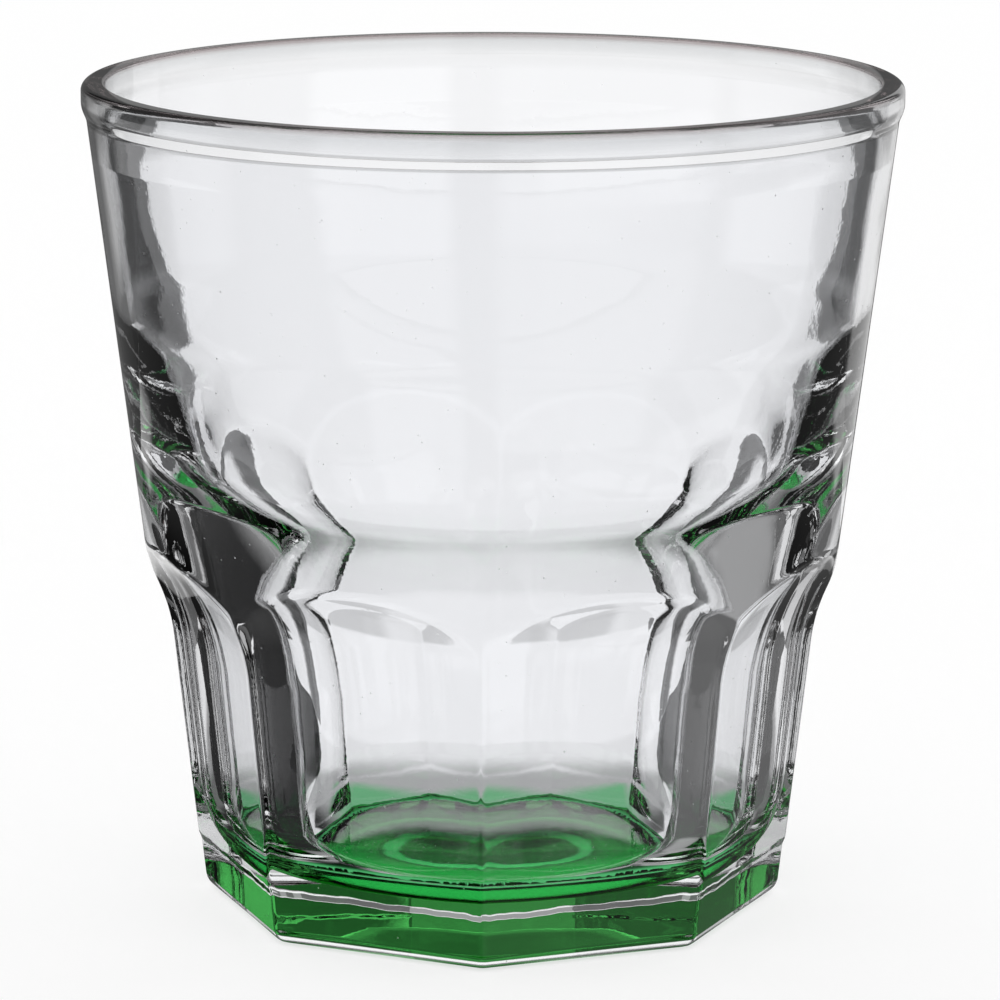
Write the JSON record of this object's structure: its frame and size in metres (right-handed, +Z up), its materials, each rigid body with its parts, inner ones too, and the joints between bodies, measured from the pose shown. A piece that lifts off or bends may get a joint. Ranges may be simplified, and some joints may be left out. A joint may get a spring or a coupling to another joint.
{
  "type": "whisky glass",
  "caption": "Clear pressed-glass whisky tumbler with a round bowl, a flat-panelled lower half, a thick base and a green colour coat under it.",
  "frame": {"origin": "centre of the standing ring, on the table", "axes": "+Z up along the glass's axis, with one ridge between two panels towards -Y"},
  "size_m": [0.09, 0.09, 0.092],
  "materials": {
    "clear_glass": "clear pressed glass, fire-polished",
    "green_coat": "translucent green lacquer film"
  },
  "bodies": {
    "root": {"glass_body": "clear_glass", "base_colour_coat": "green_coat"}
  },
  "joints": []
}
